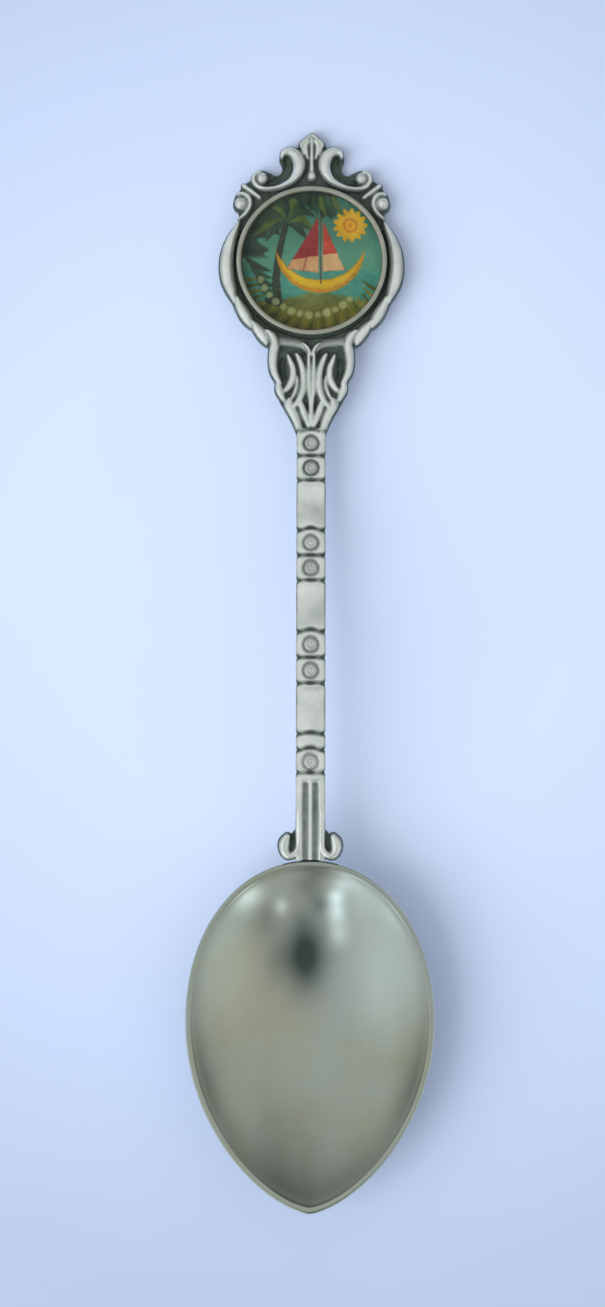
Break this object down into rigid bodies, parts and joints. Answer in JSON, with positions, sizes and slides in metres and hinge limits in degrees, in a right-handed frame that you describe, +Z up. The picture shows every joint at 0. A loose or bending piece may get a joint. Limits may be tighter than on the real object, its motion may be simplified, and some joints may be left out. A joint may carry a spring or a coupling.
{
  "type": "souvenir spoon",
  "caption": "Small souvenir spoon with a pointed oval bowl, a slim banded stem and a scrolled cast crest that frames a round picture under a clear dome.",
  "frame": {"origin": "on the table, under the centre of the spoon's length and width, with the spoon lying face up", "axes": "+Y runs along the spoon from the bowl to the crest, +Z points up out of the bowl, +X is across the width"},
  "size_m": [0.0264, 0.115, 0.0081],
  "materials": {
    "silver_plate": "polished silver plate with fine wear",
    "antique_silver": "cast relief, bright on the ridges with dark patina in the recesses",
    "solder": "dull grey solder",
    "adhesive": "set epoxy",
    "cup_metal": "satin pressed sheet",
    "printed_picture": "colour print",
    "clear_resin": "clear, glossy"
  },
  "bodies": {
    "root": {"bowl": "silver_plate", "handle": "antique_silver", "solder_joint": "solder", "seat_adhesive": "adhesive", "medallion_cup": "cup_metal", "picture_disc": "printed_picture", "clear_dome": "clear_resin"}
  },
  "joints": []
}
